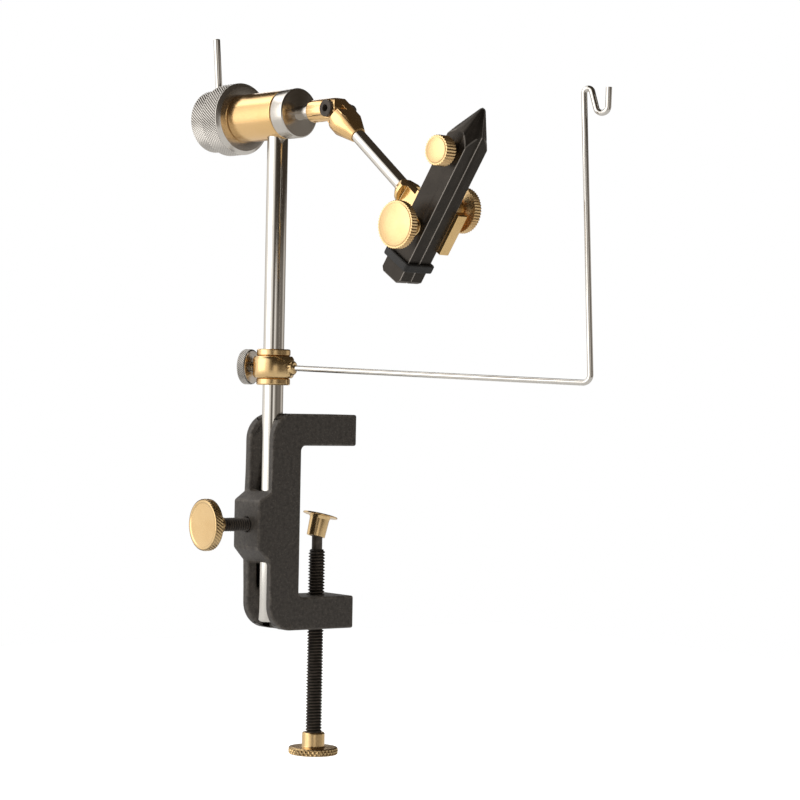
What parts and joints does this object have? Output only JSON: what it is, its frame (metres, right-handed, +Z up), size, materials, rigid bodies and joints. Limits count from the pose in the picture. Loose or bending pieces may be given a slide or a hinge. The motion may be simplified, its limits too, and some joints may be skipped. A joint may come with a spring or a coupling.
{
  "type": "rotary_bench_clamp_fly_tying_vise",
  "caption": "Rotary fly tying vise on a black bench clamp, with a steel stem, a brass rotary head with a knurled crank knob, a jointed arm, black bar jaws and a steel thread cradle",
  "frame": {"origin": "On the clamp screw's axis, on the underside of the clamp's upper arm, the face that sits on the table top", "axes": "+Z up along the stem, +Y from the clamp's spine towards its open side, X across the clamp with +X on the side of the jaws and the cradle"},
  "size_m": [0.1924, 0.1119, 0.3336],
  "materials": {
    "cast": "speckled satin powder coat",
    "brass": "turned and polished",
    "steel": "ground stainless",
    "knurled_steel": "diamond knurled",
    "black_steel": "black oxide",
    "jaw_steel": "satin black with worn edges",
    "rubber": "matte"
  },
  "bodies": {
    "clamp": {"clamp_frame": "cast"},
    "pad_disc": {"pad_thrust_disc": "steel"},
    "clamp_screw": {"clamp_screw": "black_steel", "clamp_screw_knob": "brass"},
    "pad": {"swivel_pad": "brass"},
    "stem_tip": {"stem_screw_tip": "brass"},
    "stem_screw": {"stem_screw": "black_steel", "stem_screw_knob": "brass"},
    "stem": {"stem": "steel"},
    "collar": {"collar_bush": "brass", "collar_cap": "brass"},
    "cradle": {"collar_ring": "brass", "cradle_wire": "steel"},
    "collar_tip": {"collar_screw_tip": "brass"},
    "collar_screw": {"collar_screw": "steel", "collar_screw_knob": "knurled_steel"},
    "head": {"barrel": "brass", "front_bushing": "brass", "rear_bushing": "brass", "flange_washer": "black_steel", "drag_spring": "steel"},
    "drag_ring": {"drag_ring": "knurled_steel"},
    "spindle": {"spindle": "steel", "crank_knob": "knurled_steel", "crank_pin": "steel", "spindle_coupling": "brass", "coupling_grub_screw": "black_steel", "knuckle_screw": "black_steel", "knuckle_nut": "black_steel"},
    "arm": {"arm_knuckle": "brass", "arm_rod": "steel", "jaw_mount": "brass"},
    "rear_jaw": {"rear_jaw": "jaw_steel", "tilt_bolt": "black_steel", "tilt_washer": "brass", "gap_screw": "steel", "jaw_rubber_ring": "rubber"},
    "tilt_knob": {"tilt_knob": "brass"},
    "front_jaw": {"front_jaw": "jaw_steel", "jaw_screw_insert": "steel"},
    "gap_knob": {"gap_knob": "brass"},
    "jaw_knob": {"jaw_screw": "steel", "jaw_knob": "brass"}
  },
  "joints": [
    {"name": "clamp_screw_travel", "type": "slide", "parent": "clamp", "child": "pad_disc", "axis": [0, 0, 1], "range_m": [-0.025, 0.028]},
    {"name": "clamp_screw_turn", "type": "hinge", "parent": "pad_disc", "child": "clamp_screw", "pos_m": [0, 0, -0.0389], "axis": [0, 0, 1], "range_deg": [-6400, 7160]},
    {"name": "pad_tilt", "type": "hinge", "parent": "pad_disc", "child": "pad", "pos_m": [0, 0, -0.0389], "axis": [1, 0, 0], "range_deg": [0, 28]},
    {"name": "stem_screw_travel", "type": "slide", "parent": "clamp", "child": "stem_tip", "axis": [0, -1, 0], "range_m": [0, 0.004]},
    {"name": "stem_screw_turn", "type": "hinge", "parent": "stem_tip", "child": "stem_screw", "pos_m": [0, -0.05, -0.0362], "axis": [0, -1, 0], "range_deg": [0, 1135]},
    {"name": "stem_slide", "type": "slide", "parent": "clamp", "child": "stem", "axis": [0, 0, 1], "range_m": [-0.006, 0.04]},
    {"name": "collar_slide", "type": "slide", "parent": "stem", "child": "collar", "axis": [0, 0, 1], "range_m": [-0.006, 0.03]},
    {"name": "cradle_swivel", "type": "hinge", "parent": "collar", "child": "cradle", "pos_m": [0, -0.02656, 0.0358], "axis": [0, 0, 1], "continuous": true},
    {"name": "collar_screw_travel", "type": "slide", "parent": "cradle", "child": "collar_tip", "axis": [-0.891, -0.454, 0], "range_m": [0, 0.0016]},
    {"name": "collar_screw_turn", "type": "hinge", "parent": "collar_tip", "child": "collar_screw", "pos_m": [-0.00891, -0.0311, 0.0358], "axis": [-0.891, -0.454, 0], "range_deg": [0, 720]},
    {"name": "head_swivel", "type": "hinge", "parent": "stem", "child": "head", "pos_m": [0, -0.02656, 0.1515], "axis": [0, 0, 1], "continuous": true},
    {"name": "spindle_spin", "type": "hinge", "parent": "head", "child": "spindle", "pos_m": [0, -0.02656, 0.1515], "axis": [0.9914, 0.1305, 0], "continuous": true},
    {"name": "drag_ring_turn", "type": "hinge", "parent": "spindle", "child": "drag_ring", "pos_m": [-0.02875, -0.03035, 0.1515], "axis": [0.9914, 0.1305, 0], "range_deg": [-60, 60]},
    {"name": "arm_tilt", "type": "hinge", "parent": "spindle", "child": "arm", "pos_m": [0.03738, -0.02164, 0.1515], "axis": [0.1305, -0.9914, 0], "range_deg": [-35, 20]},
    {"name": "jaw_tilt", "type": "hinge", "parent": "arm", "child": "rear_jaw", "pos_m": [0.10943, -0.01215, 0.10344], "axis": [0.1305, -0.9914, 0], "range_deg": [-20, 25]},
    {"name": "tilt_knob_turn", "type": "hinge", "parent": "rear_jaw", "child": "tilt_knob", "pos_m": [0.10865, -0.00621, 0.10344], "axis": [-0.1305, 0.9914, 0], "range_deg": [0, 360]},
    {"name": "jaw_open", "type": "hinge", "parent": "rear_jaw", "child": "front_jaw", "pos_m": [0.09618, -0.02343, 0.08194], "axis": [0.82, 0.108, -0.5621], "range_deg": [0, 2.17]},
    {"name": "gap_knob_turn", "type": "hinge", "parent": "front_jaw", "child": "gap_knob", "pos_m": [0.12709, -0.03, 0.12577], "axis": [0.1305, -0.9914, 0], "range_deg": [0, 900]},
    {"name": "jaw_knob_turn", "type": "hinge", "parent": "front_jaw", "child": "jaw_knob", "pos_m": [0.10675, -0.03268, 0.09559], "axis": [0.1305, -0.9914, 0], "range_deg": [0, 720]}
  ],
  "couplings": [
    {"joint": "clamp_screw_turn", "follows": "clamp_screw_travel", "rad_per_m": 4453},
    {"joint": "stem_screw_turn", "follows": "stem_screw_travel", "rad_per_m": 4947.4},
    {"joint": "collar_screw_travel", "follows": "collar_screw_turn", "m_per_rad": 0.00012732},
    {"joint": "jaw_open", "follows": "gap_knob_turn", "ratio": 0.0024024}
  ]
}
